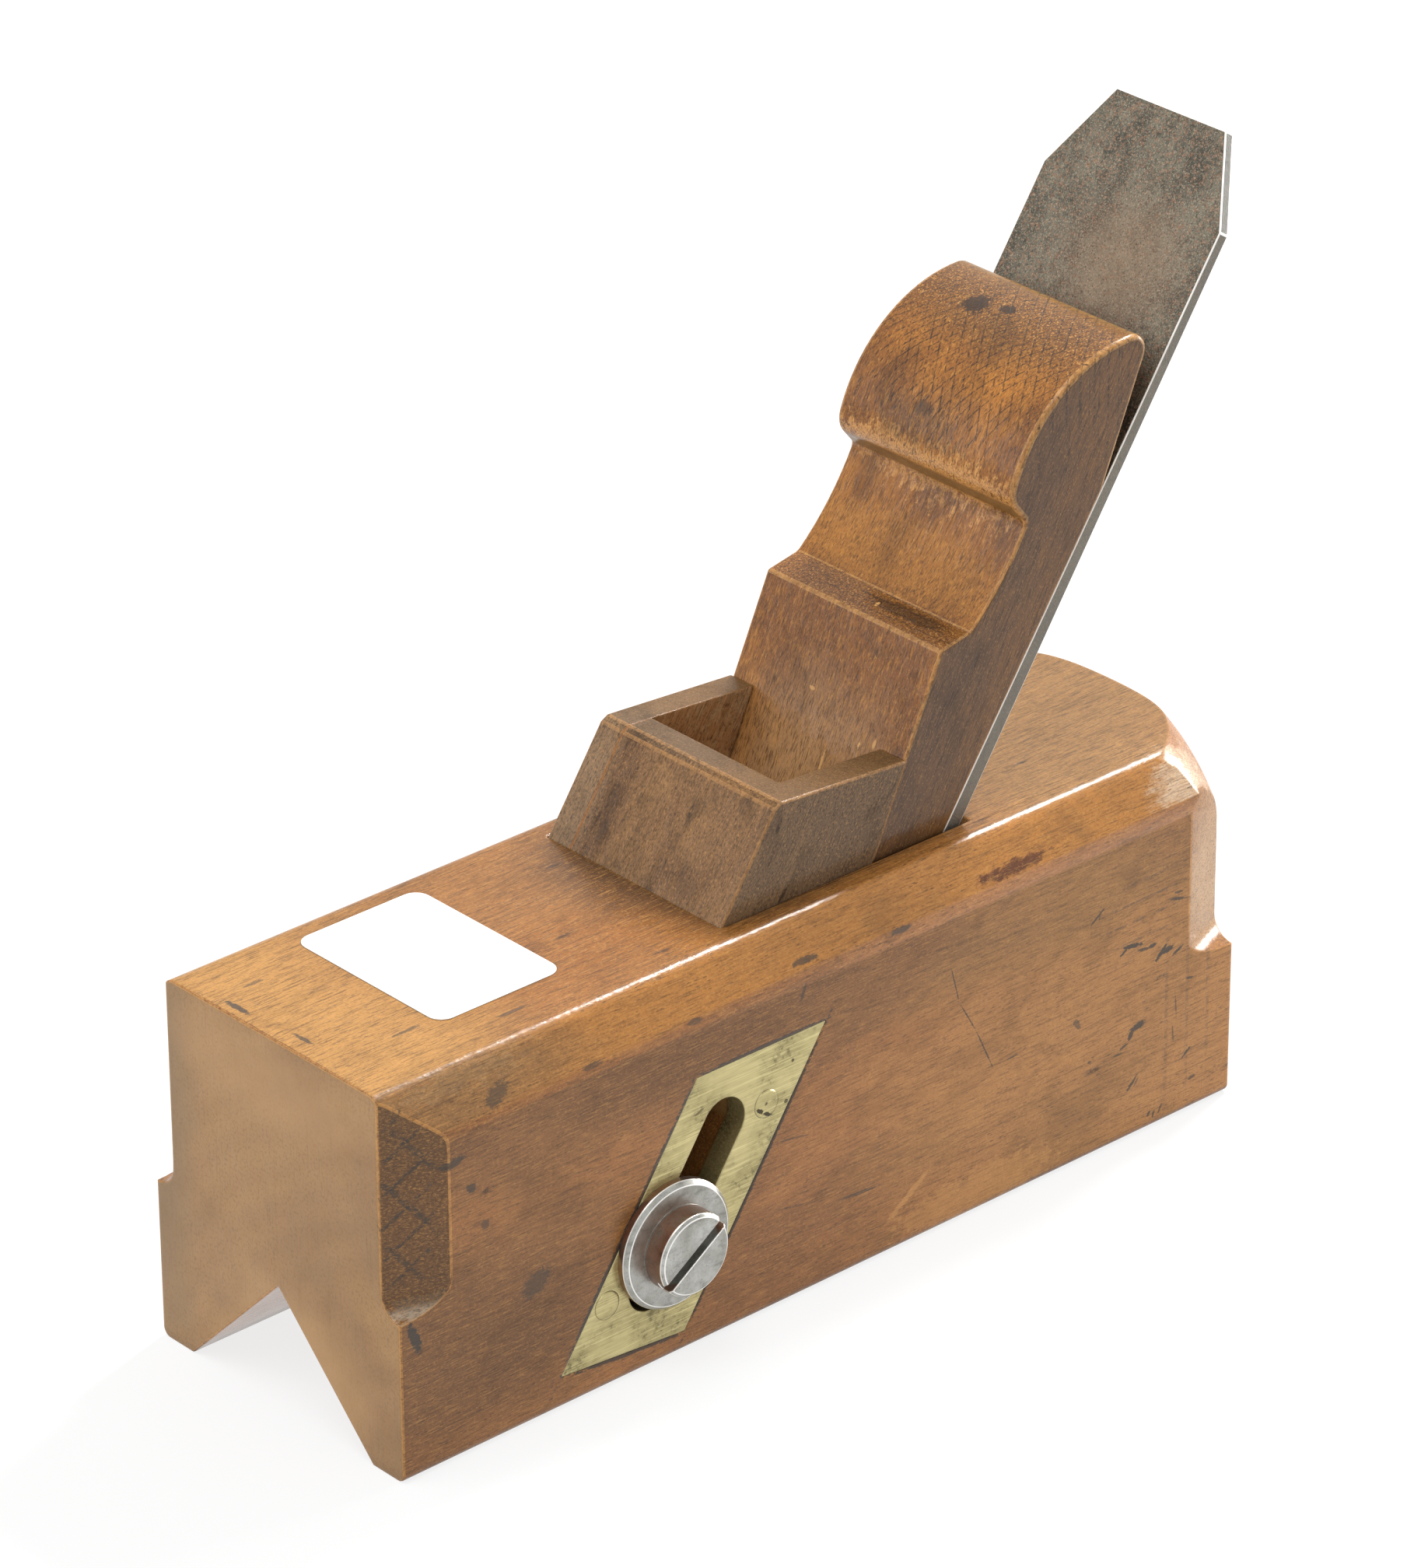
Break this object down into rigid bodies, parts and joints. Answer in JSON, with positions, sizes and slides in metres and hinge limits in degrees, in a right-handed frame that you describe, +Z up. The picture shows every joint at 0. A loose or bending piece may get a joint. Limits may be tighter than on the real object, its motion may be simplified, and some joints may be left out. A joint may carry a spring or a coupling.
{
  "type": "wooden chamfer plane",
  "caption": "Beech chamfer plane: a stock with a V sole, and an inner box that slides up its sloping mortise and is clamped at the side, holding an iron and a wedge.",
  "frame": {"origin": "on the plane of the two feet, under the middle of the stock's length and width", "axes": "+Z up, -Y towards the toe (the way the plane is pushed), +X out of the side with the brass plate"},
  "size_m": [0.0629, 0.1839, 0.1583],
  "materials": {
    "stock_beech": "old oiled beech, worn satin",
    "box_beech": "darkened beech, worn edges",
    "plate_brass": "filed flat, tarnished",
    "screw_steel": "turned, dulled",
    "iron_steel": "forged and ground, rust brown"
  },
  "bodies": {
    "stock": {"stock": "stock_beech", "slot_plate": "plate_brass", "plate_screws": "plate_brass"},
    "box": {"box_block": "box_beech", "box_left_cheek": "box_beech", "nut_plate": "screw_steel", "nut_plate_screws": "screw_steel"},
    "iron": {"iron": "iron_steel"},
    "wedge": {"wedge": "box_beech"},
    "washer": {"clamp_washer": "screw_steel"},
    "screw": {"clamp_screw": "screw_steel"}
  },
  "joints": [
    {"name": "box_slide", "type": "slide", "parent": "stock", "child": "box", "axis": [0, 0.5592, 0.829], "range_m": [-0.0074, 0.0196]},
    {"name": "iron_slide", "type": "slide", "parent": "box", "child": "iron", "axis": [0, 0.5592, 0.829], "range_m": [0, 0.03]},
    {"name": "wedge_slide", "type": "slide", "parent": "iron", "child": "wedge", "axis": [0, 0.566, 0.8244], "range_m": [0, 0.03]},
    {"name": "clamp_lift", "type": "slide", "parent": "box", "child": "washer", "axis": [1, 0, 0], "range_m": [0, 0.00145]},
    {"name": "screw_turn", "type": "hinge", "parent": "washer", "child": "screw", "pos_m": [0.0335, -0.03346, 0.0205], "axis": [1, 0, 0], "range_deg": [0, 360]}
  ],
  "couplings": [
    {"joint": "clamp_lift", "follows": "screw_turn", "m_per_rad": 0.00022459}
  ]
}
